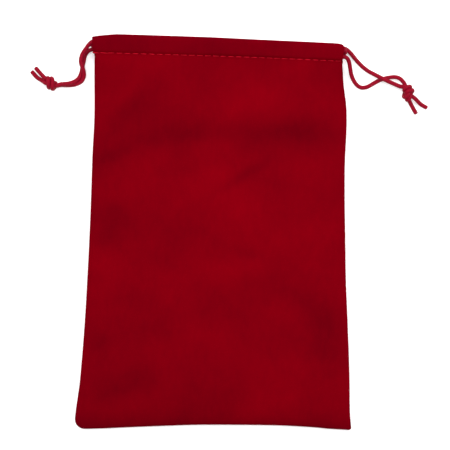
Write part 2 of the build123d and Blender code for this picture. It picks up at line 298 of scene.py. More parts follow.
def pull_tight(pulls, rounds=900):
    """Beads of both strands once the ends have been pulled to each distance in turn, in mm."""
    middle = smooth_through(LOOSE_KNOT, BEAD_STEP)
    across, _ = carry_frames(middle)
    beads = np.vstack([middle + across * APART, middle - across * APART])
    count = len(middle)
    strand = np.repeat([0, 1], count)
    order = np.tile(np.arange(count), 2)
    links = [np.array([s * count + i for s in (0, 1) for i in range(k, count - 1, 2)]) for k in (0, 1)]
    bends = [np.array([s * count + i for s in (0, 1) for i in range(k, count - 2, 3)]) for k in (0, 1, 2)]
    ends = np.array([0, 1, count - 2, count - 1, count, count + 1, 2 * count - 2, 2 * count - 1])
    start = beads[ends].copy()
    away = np.sign(start[:, :1]) * np.array([[1.0, 0, 0]])
    side = np.where(ends < count, APART, -APART)
    for number in range(rounds * len(pulls)):
        if number % 10 == 0:  # which beads are near enough to touch soon
            gap = np.linalg.norm(beads[:, None] - beads[None], axis=2)
            close = (gap < THICK + 1.2) & ~((strand[:, None] == strand) & (abs(order[:, None] - order) < 4))
            one, two = np.nonzero(np.triu(close, 1))
        stage = number // rounds  # pull for most of a stage, then let the knot settle
        before = pulls[stage - 1] if stage else 0.0
        reach = before + (pulls[stage] - before) * min(1, (number % rounds) / (rounds * 0.6))
        hold = start + away * reach
        settle = min(1, reach / 20)
        hold[:, 1] = start[:, 1] * (1 - settle) + side * settle
        hold[:, 2] = start[:, 2] * (1 - settle)
        for sweep in range(SWEEPS):
            for i in links:
                d = beads[i + 1] - beads[i]
                size = np.linalg.norm(d, axis=1)[:, None]
                move = d * (size - BEAD_STEP) / size / 2
                beads[i] += move
                beads[i + 1] -= move
            for i in bends:
                d = beads[i + 2] - beads[i]
                size = np.linalg.norm(d, axis=1)[:, None]
                move = d / size * np.clip(SHARPEST * BEAD_STEP - size, 0, None) * 0.3
                beads[i] -= move
                beads[i + 2] += move
            if sweep % 2 == 0:
                d = beads[two] - beads[one]
                size = np.linalg.norm(d, axis=1)
                hit = size < THICK
                i, j = one[hit], two[hit]
                move = d[hit] * ((THICK - size[hit]) / np.maximum(size[hit], 1e-6) / 2)[:, None]
                push, touched = np.zeros_like(beads), np.zeros(len(beads))
                for bead, shift in ((i, -move), (j, move)):
                    np.add.at(push, bead, shift)
                    np.add.at(touched, bead, 1)
                beads += push / np.maximum(touched, 1)[:, None] * PUSH
            beads[ends] = hold
    return beads[:count], beads[count:]


PULLS = (34.0, 36.5)  # mm; the knot settles after the first pull and is drawn home by the second
tight_knot = pull_tight(PULLS)
print("beads on each strand:", len(tight_knot[0]))

# %% [markdown]
# Now the knots go on their cords.  A strand runs from inside the casing to just before its knot.
# From there each strand is one unbroken tube through the knot and out to its cut tail, so the
# knot really is made of the two cords, and the tails come out where the strands do.

# %% What is known about each cord
# A cord goes into the casing at its first exit and comes out at its second, and is divided at
# split_x inside.  Roll, size and flip turn the tied knot until it lies as this one does.
CORDS = {
    "left": dict(
        line=left_line, outward=-1, split_x=-40.0, strands=("upper", "lower"),
        exits=((-65.8, 93.2, 6.7), (-66.0, 89.4, 2.1)), middle=np.array((-84.5, 71.9, 3.2)),
        toward=np.array((-0.96, 0.28, 0.0)), roll=0, size=0.90, flip=False,
        tails=([(-88.6, 73.0, 2.2), (-91.6, 74.8, 1.2), (-94.4, 77.7, 1.0)],
               [(-87.6, 74.5, 4.0), (-89.8, 76.6, 2.2), (-92.5, 79.5, 1.0)]),
    ),
    "right": dict(
        line=right_line, outward=1, split_x=35.0, strands=("lower", "upper"),
        exits=((60.0, 89.4, 6.7), (60.6, 93.2, 2.1)), middle=np.array((91.1, 72.4, 3.5)),
        toward=np.array((0.6, -0.8, 0.0)), roll=170, size=1.0, flip=True,
        tails=([(94.2, 70.1, 3.4), (97.4, 67.3, 1.6), (100.8, 65.4, 1.0)],
               [(91.9, 68.6, 1.8), (93.8, 65.2, 1.0), (95.6, 62.3, 1.0)]),
    ),
}
STRAND_START = 5.2  # mm before the knot's middle


def split_cord(cord):
    """First strand, inner run and last strand of a cord, as lines that meet end to end."""
    line, out = cord["line"], cord["outward"]
    before = (line - cord["middle"]) @ (cord["toward"] / np.linalg.norm(cord["toward"]))
    outside = before < -STRAND_START
    first = int(np.argmax(outside))
    last = len(line) - 1 - int(np.argmax(outside[::-1]))
    inside = line[:, 0] * out < cord["split_x"] * out
    enter = int(np.argmax(inside))
    leave = len(line) - 1 - int(np.argmax(inside[::-1]))
    return line[first:enter + 1], line[enter:leave + 1], line[leave:last + 1]


for side, cord in CORDS.items():
    print(side, "first strand, inner run, last strand:", [round(length_of(p)) for p in split_cord(cord)])

# %% Knots and tails
CROWDED = 2.2  # times the beads of a plain stretch
STUB = 0.9  # mm of plain strand kept at each side of a knot
KNOT_STEP = 0.22  # mm between points along a tied strand


def place_knot(beads, cord):
    """The tight middle of both strands, turned and moved to where the knot lies."""
    both = np.vstack(beads)
    counts, marks = np.histogram(both[:, 0], bins=np.arange(both[:, 0].min(), both[:, 0].max(), 0.5))
    busy = np.flatnonzero(counts > CROWDED * np.median(counts))  # the knot is where the beads crowd
    body = (both[:, 0] > marks[busy[0]]) & (both[:, 0] < marks[busy[-1] + 1])
    low_end, high_end = np.percentile(both[body], (3, 97), axis=0)
    centre = (low_end + high_end) / 2
    half = (high_end - low_end)[0] / 2 * cord["size"]
    toward = cord["toward"] / np.linalg.norm(cord["toward"])
    across = np.cross((0, 0, 1.0), toward)
    roll = math.radians(cord["roll"])
    c, s = math.cos(roll), math.sin(roll)
    placed = []
    for strand in beads:
        local = (strand - centre) * cord["size"]
        if cord["flip"]:
            local[:, 1] *= -1
        near = np.abs(local[:, 0]) < half + STUB
        local = local[np.argmax(near):len(near) - np.argmax(near[::-1])]
        for _ in range(3):
            local[1:-1] += 0.25 * (local[:-2] + local[2:] - 2 * local[1:-1])
        y = c * local[:, 1] - s * local[:, 2]
        z = s * local[:, 1] + c * local[:, 2]
        placed.append(local[:, :1] * toward + y[:, None] * across + z[:, None] * np.array((0, 0, 1.0)))
    lowest = min(p[:, 2].min() for p in placed)
    lift = max(cord["middle"][2], CORD_RADIUS + 0.05 - lowest)
    middle = np.array((*cord["middle"][:2], lift))
    return [(p + middle)[::-1] for p in placed]


def apart(some, others):
    """Total distance between points taken in pairs."""
    return sum(np.linalg.norm(a - b) for a, b in zip(some, others))


def knot_lines(placed, arriving, tails):
    """One line for each strand: out of the bag's strand, through the knot, out to a tail."""
    lines = []
    starts = [start for _, start in arriving]
    if apart([p[0] for p in placed[::-1]], starts) < apart([p[0] for p in placed], starts):
        placed = placed[::-1]
    ends = [p[-1] for p in placed]
    if apart(ends, [t[0] for t in tails[::-1]]) < apart(ends, [t[0] for t in tails]):
        tails = tails[::-1]
    for strand, (before, start), tail in zip(placed, arriving, tails):
        control = np.vstack([before, start, strand[1:-1:2], tail])
        line = smooth_through(control, KNOT_STEP)
        skip = int(np.argmin(np.linalg.norm(line - start, axis=1)))
        line = line[skip:]
        line[:, 2] = np.maximum(line[:, 2], CORD_RADIUS)
        lines.append(line)
    return lines


for side, cord in CORDS.items():
    size = np.ptp(np.vstack(place_knot(tight_knot, cord)), axis=0) + THICK
    print(side, "knot", np.round(size, 1), "mm")

# %% [markdown]
# ## Materials
# Three finishes cover the whole bag: velvet, braided cord and sewing thread.  Each is built from
# the same small function, which adds one node with its settings and its links.

# %% Colour and node helpers
def colour(hex_code):
    """A colour written the way a web page writes it, in the linear light that Blender works in."""
    parts = [int(hex_code[i:i + 2], 16) / 255 for i in (1, 3, 5)]
    return (*[c / 12.92 if c <= 0.04045 else ((c + 0.055) / 1.055) ** 2.4 for c in parts], 1)


def add_node(tree, kind, settings=None, **inputs):
    """One node; an input is a value, another node's output, or a node for its first output."""
    node = tree.nodes.new(kind)
    for key, value in (settings or {}).items():
        setattr(node, key, value)
    for key, value in inputs.items():
        numbered = key[0] == "i" and key[1:].isdigit()
        socket = node.inputs[int(key[1:]) if numbered else key.replace("_", " ")]
        if isinstance(value, bpy.types.Node):
            value = value.outputs[0]
        if isinstance(value, bpy.types.NodeSocket):
            tree.links.new(value, socket)
        else:
            socket.default_value = value
    return node


def calculate(node, operation, *values):
    """One step of arithmetic on numbers or nodes."""
    numbered = {f"i{i}": value for i, value in enumerate(values)}
    return node("ShaderNodeMath", {"operation": operation}, **numbered)


def mix_colours(node, factor, one, other, way="MIX"):
    """From one colour to the other, or one tinted by the other."""
    mixed = node("ShaderNodeMix", {"data_type": "RGBA", "blend_type": way},
                 i0=factor, i6=one, i7=other)
    return mixed.outputs[2]


def mix_values(node, factor, one, other):
    return node("ShaderNodeMix", {"data_type": "FLOAT"}, Factor=factor, i2=one, i3=other)


def new_material(name):
    """An empty material, and the function that adds nodes to it."""
    made = bpy.data.materials.new(name)
    made.use_nodes = True
    made.node_tree.nodes.clear()
    return made, partial(add_node, made.node_tree)


def finish_material(node, shader):
    node("ShaderNodeOutputMaterial", Surface=shader)


# %% [markdown]
# Velvet is a woven ground with a short, dense pile standing up from it.  Seen down the pile it
# drinks light and looks deep; seen across the pile, at every rounded edge, the fibre sides catch
# light and the cloth looks paler.  Sheen does exactly that.  The pile never lies quite even, so
# the colour drifts a little over a few centimetres, and every fibre tip gives a fine grain.

# %% Cotton velvet: cut pile, brushed and left matt
PILE_GRAIN = 0.45  # mm; real fibre tufts are about 0.15, drawn coarser so that they still show


def grain_noise(node, vector, size, detail=2.0, roughness=0.5):
    return node("ShaderNodeTexNoise", {"noise_dimensions": "3D"}, Vector=vector,
                Scale=1.0 / size, Detail=detail, Roughness=roughness)


velvet, node = new_material("red_cotton_velvet")
strip = node("ShaderNodeUVMap", {"uv_map": "strip"})  # millimetres on the flat strip
drift = grain_noise(node, strip.outputs[0], 34.0, 3.0)
brushed = node("ShaderNodeMapping", {"vector_type": "POINT"}, Vector=strip, Scale=(1.0, 0.45, 1.0))
streaks = grain_noise(node, brushed.outputs[0], 2.6, 3.0)
pile = grain_noise(node, strip.outputs[0], PILE_GRAIN, 2.0, 0.6)
uneven = mix_values(node, 0.30, mix_values(node, 0.20, drift, streaks), pile)
# Painted shade and painted light: this mark darkens the velvet in the hollows and along the bottom fold and
# lightens it on the crowns, partly as pile crushed in handling.
pile_and_shade_mark = node("ShaderNodeAttribute", {"attribute_name": "nap"})
grain_and_painted_shade = calculate(node, "MULTIPLY_ADD", pile_and_shade_mark.outputs["Fac"], 0.19, uneven)
depth = node("ShaderNodeMapRange", i0=grain_and_painted_shade, i1=0.20, i2=0.80)
# Painted shade: the casings' velvet is multiplied darker and a little bluer, most towards the left end.
casing_shade_mark = node("ShaderNodeAttribute", {"attribute_name": "brushed_back"})
shade = mix_colours(node, depth, colour("#520009"), colour("#78000b"))
shade = mix_colours(node, casing_shade_mark.outputs["Fac"], shade, colour("#e0d0ff"), "MULTIPLY")
tufts = node("ShaderNodeBump", i0=0.35, i1=0.00025, i3=pile)
soft = node("ShaderNodeBsdfPrincipled", Base_Color=shade, Roughness=0.92, Normal=tufts,
            Specular_IOR_Level=0.0, Sheen_Weight=0.24, Sheen_Roughness=0.38,
            Sheen_Tint=colour("#ff0430"))
finish_material(node, soft)
print("velvet grain", PILE_GRAIN, "mm")

# %% [markdown]
# The cords are braided from shiny polyester yarn.  Every strand is a bundle of fine filaments
# that run along it, so each cell of the braid shows thin slanting lines, and the filaments give
# the cord a soft gloss that the velvet does not have.

# %% Braided polyester cord
FILAMENT = 0.16  # mm between the fine lines; about 0.05 on the real yarn
cord_finish, node = new_material("braided_polyester_cord")
braid = node("ShaderNodeUVMap", {"uv_map": "braid"})
place = node("ShaderNodeSeparateXYZ", Vector=braid)
threads = calculate(node, "MULTIPLY_ADD", place, 0.9, place.outputs[1])
threads = calculate(node, "SINE", calculate(node, "MULTIPLY", threads, 2 * math.pi / FILAMENT))
fluff = grain_noise(node, braid.outputs[0], 0.5, 2.0)
mixed = calculate(node, "MULTIPLY_ADD", threads, 0.18, fluff)
tone = node("ShaderNodeMapRange", i0=mixed, i1=0.2, i2=0.8)
shade = mix_colours(node, tone, colour("#680214"), colour("#920724"))
lines = node("ShaderNodeBump", i0=0.5, i1=0.0001, i3=mixed)
gloss = node("ShaderNodeBsdfPrincipled", Base_Color=shade, Roughness=0.55, Normal=lines,
             Specular_IOR_Level=0.05, Sheen_Weight=0.08, Sheen_Roughness=0.4,
             Sheen_Tint=colour("#ff1634"))
finish_material(node, gloss)

# %% [markdown]
# The stitches are sewn with a thin lustrous thread, a little brighter than the velvet because it
# has no pile to drink the light.  Its tone drifts along a row, so neighbouring stitches differ.

# %% Polyester sewing thread
TONE_WAVE = 4.2  # mm from light to light along a row
thread_finish, node = new_material("polyester_sewing_thread")
here = node("ShaderNodeTexCoord")
tones = node("ShaderNodeTexWave", {"wave_type": "BANDS", "bands_direction": "DIAGONAL"},
             Vector=here.outputs["Object"], Scale=0.63 / (TONE_WAVE * MM), Distortion=0.6)
shade = mix_colours(node, tones.outputs[1], colour("#8a0210"), colour("#a8061c"))
twist = node("ShaderNodeBump", i0=0.4, i1=0.00008, i3=tones.outputs[1])
lustre = node("ShaderNodeBsdfPrincipled", Base_Color=shade, Roughness=0.45,
              Normal=twist, Specular_IOR_Level=0.05)
finish_material(node, lustre)

# %% Cords and knots as objects
def give(made, material, slot, body, *nodes):
    """Finish for a piece, the body it moves with and what it stands for in the measured model."""
    made.data.materials.clear()
    made.data.materials.append(material)
    if body:
        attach(made, body)
    if nodes:
        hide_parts(*nodes)


TIED_START = -60.0  # mm; where the braid's count begins on the strand that is tied first


def make_cord(side, cord):
    """All the pieces of one drawcord; a strand is a free cord from the casing to the knot."""
    body = f"{side}_drawcord_body"
    first, inner, last = split_cord(cord)
    starts = np.cumsum([0, length_of(first), length_of(inner)])
    arriving = [(first[5], first[0]), (last[-6], last[-1])]
    tails = [np.array(t) for t in cord["tails"]]
    lines = knot_lines(place_knot(tight_knot, cord), arriving, tails)
    tied = braided_tube(f"{side}_cord_knot_and_tails", lines,
                        [TIED_START, starts[2] + length_of(last)], round_ends=(False, True))
    give(tied, cord_finish, "cord", body, f"{side}_cord_knot", f"{side}_cord_tails")
    run = braided_tube(f"{side}_cord_in_casings", [inner], [starts[1]])
    give(run, cord_finish, "cord", body, f"{side}_drawcord")
    free = zip(cord["strands"], (first, last), starts[::2], cord["exits"])
    for name, line, start, leave in free:
        piece = braided_tube(f"{side}_cord_{name}_strand", [line], [start])
        give(piece, cord_finish, "cord", body, f"{side}_drawcord")
        print(piece.name, round(length_of(line), 1), "mm,", len(piece.data.polygons), "faces")
    print(tied.name, [round(length_of(l), 1) for l in lines], "mm,", len(tied.data.polygons), "faces")


for side, cord in CORDS.items():
    make_cord(side, cord)

# %% [markdown]
# ## The velvet strip
# The bag's outline is not a rectangle: it is a little wider at the bottom, the sides bow in, and
# the bottom corners are softly rounded at the left and pointed at the right.  The outline is
# given by a few measured places on each edge, joined smoothly.

# %% Outline of the bag
LEFT_EDGE = [
    (-97, -68.0), (-92, -67.8), (-73, -65.85), (-34, -64.05), (15, -63.15), (35, -63.1),
    (55, -62.7), (75, -63.2), (87.0, -63.5), (88.3, -64.1), (95.3, -64.75),
]
RIGHT_EDGE = [
    (-94.5, 68.3), (-84, 67.2), (-69.5, 66.6), (-40, 64.7), (-20, 63.3), (0, 62.4),
    (19, 61.55), (38, 61.1), (55, 61.4), (62, 61.2), (78, 59.0), (87.7, 58.35), (94.1, 58.8),
]
TOP_EDGE = [
    (-64.75, 95.3), (-60, 96.1), (-51, 96.9), (-12, 96.8), (17.5, 96.3), (47, 95.8),
    (55.5, 95.6), (57.7, 95.2), (58.9, 94.0),
]
BOTTOM_EDGE = [
    (-67.9, -97.4), (-64, -97.4), (-55, -97.0), (-45.5, -96.3), (-26, -94.9), (-6, -93.7),
    (13.5, -93.15), (33, -92.85), (48, -93.2), (58, -93.8), (65, -94.0), (68.3, -94.3),
]
STITCH_ROW = [(-64, 87.5), (0, 87.5), (58.5, 86.9)]
SIDES = (1, "right"), (-1, "left")
SIDE_EDGES = {1: RIGHT_EDGE, -1: LEFT_EDGE}


def along_edge(places, at):
    """Smooth curve through (at, value) places."""
    x, y = np.array(places, float).T
    run = np.diff(y) / np.diff(x)
    pair = run[:-1] * run[1:]
    inner = np.where(pair > 0, 2 * pair / np.where(pair > 0, run[:-1] + run[1:], 1), 0)
    slope = np.concatenate([run[:1], inner, run[-1:]])
    at = np.clip(np.asarray(at, float), x[0], x[-1])
    i = np.clip(np.searchsorted(x, at, side="right") - 1, 0, len(x) - 2)
    h = x[i + 1] - x[i]
    t = (at - x[i]) / h
    t2, t3 = t * t, t * t * t
    return ((2 * t3 - 3 * t2 + 1) * y[i] + (t3 - 2 * t2 + t) * h * slope[i]
            + (3 * t2 - 2 * t3) * y[i + 1] + (t3 - t2) * h * slope[i + 1])


def ease(value, low, high):
    """0 below low, 1 above high, and a smooth rise between them."""
    t = np.clip((np.asarray(value, float) - low) / (high - low), 0, 1)
    return t * t * (3 - 2 * t)


print("mouth", round(float(along_edge(RIGHT_EDGE, 90) - along_edge(LEFT_EDGE, 90)), 1), "mm wide")

# %% [markdown]
# How high does the cloth stand?  The back lies on the table.  The front rests on it with a little
# air between, highest in the middle, and comes down to the seam at each side and to the fold at
# the bottom.  At the casings two layers are held apart by the cords inside.

# %% Heights of the cloth
CLOTH = 0.8
HALF = CLOTH / 2
MOUTH_CORNER_Z = 6.7  # middle of the front casing at its ends
SEAM_Z, SEAM_RISE = 1.9, 1.7  # the seams climb towards the mouth
BACK_Z, BACK_LIFT = 0.42, 0.22  # the back is drawn up a little at its stitches
STITCHED_GAP, CASING_GAP = 0.42, 1.82  # half the space in a casing, at the stitches and round a cord


def casing_middle(x):
    """Height of the front casing's middle, which the cords' lanes follow."""
    return MOUTH_CORNER_Z + (LANE_MIDDLE_Z - MOUTH_CORNER_Z) * (1 - np.clip(np.abs(x) / 62, 0, 1) ** 3)


def seam_height(y):
    """Height of a side seam."""
    return SEAM_Z + SEAM_RISE * ease(y, 62, 85)


def casing_gap(s):
    """Half the space between a casing's two layers; s is 0 at the stitches and 1 at the mouth edge."""
    places = [(-0.3, 0.55), (0, STITCHED_GAP), (0.05, 0.66), (0.1, 1.32), (0.17, 1.70),
              (0.27, CASING_GAP), (0.6, CASING_GAP), (0.74, 1.74), (0.85, 1.42), (0.93, 0.95),
              (0.975, 0.52), (1.0, 0.0)]
    return np.interp(s, *np.array(places).T)


# Hollows and crowns left by folding and handling: x, y, half length and half width in mm, the
# way the length points in degrees, and how strong it is.  The long hollow across the upper half is
# where the bag was folded for packing.
# The same table also sets the velvet's colour: darker in each hollow and lighter on each crown, as painted
# shade and painted light.
HANDLING = [
    (33, 51, 29, 4.5, 2, -0.75), (-20, 48, 24, 4, 7, -0.75), (-52, 38, 11, 3, 25, -0.8),
    (23, 65, 22, 7, 0, 0.8), (50, 70, 7, 7, 0, 0.3), (-2, 24, 15, 14, 0, 0.9),
    (23, 1, 12, 14, 0, 0.7), (9, -17, 15, 4, 0, 0.6), (10, 28, 15, 2, 34, -0.8),
    (16, -9, 7, 2, -10, -0.5), (-52, 5, 10, 7, 0, -1.0), (-56, -4, 6, 3, 0, -0.5),
    (54, -43, 8, 10, 0, -1.1), (41, -31, 10, 4, -30, -0.6), (-41, -75, 14, 6, 25, -1.0),
    (-58, -56, 5, 4, 0, -0.5), (-48, 57, 15, 3, 50, -0.6), (-47, 68, 8, 3, 50, 0.5),
    (-30, 36, 7, 3, 20, 0.3), (44, 36, 11, 4, 0, 0.25), (-18, -42, 20, 12, 0, 0.15),
    (27, -63, 24, 10, 0, 0.2),
]
SOFTER_LENGTH, SOFTER_WIDTH = 1.1, 1.35  # how far each one fades out past its size


def handled(x, y):
    """How much the cloth is pressed down, below 0, or stands up, above 0, at each place."""
    total = np.zeros(np.broadcast(x, y).shape)
    for cx, cy, half_length, half_width, turn, strength in HANDLING:
        c, s = math.cos(math.radians(turn)), math.sin(math.radians(turn))
        along = ((x - cx) * c + (y - cy) * s) / (half_length * SOFTER_LENGTH)
        across = ((y - cy) * c - (x - cx) * s) / (half_width * SOFTER_WIDTH)
        total = total + strength * np.exp(-(along**2 + across**2))
    return total


def ripple(x, y):
    """Soft unevenness of cloth that has been handled, in mm."""
    broad = (0.30 * np.sin(x / 19 + y / 31 + 0.5) + 0.24 * np.sin(x / 11.5 - y / 23 + 1.7)
             + 0.14 * np.sin(y / 8.7 + x / 37) + 0.10 * np.sin(x / 5.9 + y / 13 + 2.2))
    gather = 0.16 * np.sin(2 * np.pi * x / 7.4 + 0.8) * np.exp(-np.abs(88 - y) / 9)
    return 0.6 * broad + gather + 0.55 * handled(x, y)


def front_height(x, y, in_from_side, in_from_bottom):
    """Height of the front panel's middle surface, clear of its edges."""
    crown = 7.7 - 3.2 * (1 - np.clip(in_from_side / 62, 0, 1)) ** 3
    rise = 1 - (1 - np.clip(in_from_bottom / 30, 0, 1)) ** 2.4
    body = SEAM_Z + (crown - SEAM_Z) * (0.22 + 0.78 * rise)
    near_hem = ease(y, 66, 87.4)
    return body * (1 - near_hem) + (casing_middle(x) + STITCHED_GAP) * near_hem


# %% [markdown]
# The strip is made as a grid whose columns run from a side edge to the middle and whose rows run
# the whole length of the strip: up inside the front casing, over the mouth edge, down the front,
# round the bottom fold, and the same way up the back.  The columns crowd together at the edge,
# where the cloth rolls over into its seam.  The strip is cut down the middle into a left and a
# right half.

# %% The strip as a grid
# Each roll is a list of (how far in from the edge, share of the way up from the edge).
SEAM_ROLL = [(0.70, 0.0), (0.30, 0.10), (0.06, 0.24), (0.0, 0.42), (0.12, 0.60), (0.45, 0.77),
             (0.95, 0.89), (1.7, 0.965), (2.6, 1.0)]
OPEN_ROLL = [0, 0.3, 0.6, 0.9, 1.2, 1.5, 1.8, 2.2, 2.6]
FOLD_ROLL = [(0.0, 0.0), (0.05, 0.28), (0.22, 0.52), (0.5, 0.72), (0.9, 0.87), (1.5, 0.96), (2.3, 1.0)]
MIDDLE_X = -2.0
COLUMN_STEP, ROW_STEP = 1.25, 1.7
PANEL_LENGTH = 178
FOLD_Y, HEM_Y, CASING_LENGTH = -93, 87.4, 8.3
CORNER = {1: 1.2, -1: 4.6}  # radius of the bottom corner on each side
LAYER_AT = np.array([0.05, 0.09, 0.13, 0.18, 0.25, 0.34, 0.44, 0.54, 0.64, 0.73, 0.81, 0.88,
                     0.93, 0.965, 0.99, 1.0])  # rows of a casing, from its stitches to the mouth


def rounded_corner(a, b, radius):
    """Moves distances in from two edges so that their corner is rounded."""
    p, q = np.clip((radius - a) / radius, 0, 1), np.clip((radius - b) / radius, 0, 1)
    both = (p > 0) & (q > 0)
    p2, q2 = p * np.sqrt(1 - q * q / 2), q * np.sqrt(1 - p * p / 2)
    return np.where(both, radius * (1 - p2), a), np.where(both, radius * (1 - q2), b)


def half_strip(side):
    """Rows of points of one half of the strip, from raw edge to raw edge, and how far along each is."""
    edge_places, corner = SIDE_EDGES[side], CORNER[side]
    roll_in, roll_up = np.array(SEAM_ROLL).T
    steps = int(round((60 - roll_in[-1]) / COLUMN_STEP))
    t = (np.arange(1, steps + 1) / steps) ** 1.12

    def column_x(y, flat):
        """x of every column on the row at y; flat is 1 where the edge is a plain cut."""
        at_edge = along_edge(edge_places, y) - side * HALF * (1 - flat)
        near = roll_in[None] * (1 - flat)[:, None] + np.array(OPEN_ROLL)[None] * flat[:, None]
        x_near = at_edge[:, None] - side * near
        x_last = x_near[:, -1:]
        return np.hstack([x_near, x_last + (MIDDLE_X - x_last) * t[None]])

    def panel(front):
        rows = int(round(PANEL_LENGTH / ROW_STEP))
        fold_in, fold_up = np.array(FOLD_ROLL).T
        v = np.concatenate([np.zeros(len(fold_in)), np.arange(1, rows + 1) / rows])
        fold_f = np.concatenate([fold_up, np.ones(rows)])
        fold_b = np.concatenate([fold_in, np.full(rows, fold_in[-1])])
        y_guess = FOLD_Y + fold_b + (HEM_Y - FOLD_Y - fold_b[-1]) * v
        flat = ease(y_guess, 84.5, 88)
        x = column_x(y_guess, flat)
        for _ in range(2):
            edge_b = along_edge(BOTTOM_EDGE, x) + HALF
            y_low = edge_b + fold_b[:, None]
            y = y_low + (along_edge(STITCH_ROW, x) - y_low) * v[:, None]
            x_edge = along_edge(edge_places, y) - side * HALF * (1 - flat)[:, None]
            a = (x_edge - x) * side
            b = np.broadcast_to(fold_b[:, None], x.shape) + (y - y_low)
            a2, b2 = rounded_corner(np.maximum(a, 0), b, corner)
            shift = a2 - np.maximum(a, 0)
            x = column_x(y[:, 0], flat)
        x = x - side * shift
        y = y + (b2 - b)
        seam = seam_height(y)
        opened = ease(y, 84, 88.2)
        roll = np.concatenate([roll_up, np.ones(len(t))])[None]
        inward = np.maximum((x_edge - x) * side, 0)
        if front:
            edge_z = seam + (casing_middle(x) + STITCHED_GAP - seam) * opened
            top = front_height(x, y, inward, b2)
            loose = ease(inward, 1, 9) * ease(b2, 2, 16) * (1 - ease(y, 83, 87.6))
            lie = top + ripple(x, y) * loose
        else:
            edge_z = seam + (BACK_Z - seam) * opened
            loose = ease(inward, 4, 20) * ease(b2, 4, 20) * (1 - ease(y, 78, 88))
            lie = BACK_Z + 0.18 * (1 + np.sin(x / 13 + y / 17)) * loose
            lie = lie + BACK_LIFT * ease(y, 86.2, 87.8)
        z = edge_z + (lie - edge_z) * roll * fold_f[:, None]
        return np.stack([x, y, z], 2)

    def casing(front):
        turned_in = [0.0, -0.1, -0.2]
        s = np.concatenate([LAYER_AT, LAYER_AT[-2::-1], turned_in])
        mouth = len(LAYER_AT) - 1
        layer = np.concatenate([np.ones(mouth), [0], -np.ones(mouth + len(turned_in))])
        y_guess = 87.8 + s * CASING_LENGTH
        x = column_x(y_guess, np.ones(len(s)))
        row, top = along_edge(STITCH_ROW, x), along_edge(TOP_EDGE, x) - HALF
        y = row + s[:, None] * (top - row)
        gap = casing_gap(s)[:, None] * np.ones_like(x)
        pucker = 0.10 * np.sin(2 * np.pi * x / 3.7 + 1.0) * np.exp(-((s[:, None]) / 0.35) ** 2)
        sag = 0.12 * np.sin(x / 9 + 0.7) + 0.10 * np.sin(x / 4.3 + 1.9)
        if front:
            uneven = (pucker + sag) * np.minimum(gap / 1.7, 1)
            z = casing_middle(x) + layer[:, None] * gap + np.where(layer[:, None] > 0, uneven, 0)
        else:
            lie = BACK_Z + BACK_LIFT * (1 - ease(s, 0, 0.12))
            at_mouth = BACK_Z + CASING_GAP - 0.2 * ease(s, 0.8, 1)
            middle = np.where(s < 0.5, lie + casing_gap(s), at_mouth)[:, None]
            z = np.maximum(middle - layer[:, None] * gap, BACK_Z - 0.02)
        return np.stack([x, y, z], 2)

    front = np.concatenate([casing(True)[::-1], panel(True)[::-1]])
    back = np.concatenate([panel(False)[1:], casing(False)])
    rows = np.concatenate([front, back])
    cased = len(casing(True))
    in_casing = np.zeros(len(rows))
    in_casing[:cased] = in_casing[-cased:] = 1
    in_casing[cased - 4:cased] = 0.8, 0.4, 0.1, 0.0  # the painted casing shade fades out beside the stitches
    return rows, run_along(rows[:, -1]), in_casing


ROLL_STEP = 0.6  # mm between the columns of a rolled edge, on the flat strip


def grid_cells(count, width, side):
    """Corners of each cell of a grid as (row, column), in the order that faces out on this side."""
    for i in range(count - 1):
        for j in range(width - 1):
            corners = [(i, j), (i, j + 1), (i + 1, j + 1), (i + 1, j)]
            yield corners[::-1] if side > 0 else corners


def thicken(made, thickness):
    """Gives a sheet its thickness, half to each side, and smooth shading."""
    thick = made.modifiers.new("cloth thickness", "SOLIDIFY")
    thick.thickness, thick.offset = thickness * MM, 0
    bake_modifiers(made)
    made.data.shade_smooth()
    made.data.set_sharp_from_angle(angle=math.radians(50))


def mark_points(made, name, values):
    """Keeps one number for each point of a mesh, which the velvet's finish reads."""
    marks = made.data.attributes.new(name, "FLOAT", "POINT")
    marks.data.foreach_set("value", values.astype(np.float32).ravel())


def make_half(name, side):
    """One half of the velvet strip, and the strip's length in mm."""
    rows, run, in_casing = half_strip(side)
    count, width = rows.shape[:2]
    plain = len(SEAM_ROLL)  # the first column past the rolled edge
    faces, uvs = [], []
    for corners in grid_cells(count, width, side):
        faces.append(tuple(r * width + c for r, c in corners))
        for r, c in corners:
            past = side * max(plain - c, 0) * ROLL_STEP
            uvs.append((rows[r, max(c, plain), 0] + past, run[r]))
    made = make_object(name, rows.reshape(-1, 3), faces)
    give_uvs(made, "strip", uvs)
    x, y = rows[..., 0], rows[..., 1]
    strength = np.clip(0.65 - x / 170, 0.3, 1)  # painted shade on the casings, darker towards the left end
    mark_points(made, "brushed_back", in_casing[:, None] * strength)
    # Painted shade: a darker band along the bottom fold, where the cloth rounds away from the light.
    painted_fold_shade = 0.9 * np.exp(-((y + 96) / 6) ** 2)
    # Outside the casings the velvet's tone takes painted shade in the hollows and painted light on the
    # crowns, partly crushed pile.
    mark_points(made, "nap", (handled(x, y) - painted_fold_shade) * (1 - in_casing)[:, None])
    thicken(made, CLOTH)
    print(name, count, "rows,", width, "columns, strip", round(float(run[-1])), "mm long")
    return made, float(run[-1])


right_half, strip_length = make_half("right_half_of_velvet", 1)
left_half, _ = make_half("left_half_of_velvet", -1)

# %% [markdown]
# ## Stitches
# A machine stitch is a short loop of thread that rises out of the cloth, lies along it and dives
# back in.  Hundreds of them in a row are the same shape, so Geometry Nodes place them: the tree
# walks along a line, sets a small arched piece of thread at every step and turns each one a
# little differently, as a worn seam does.

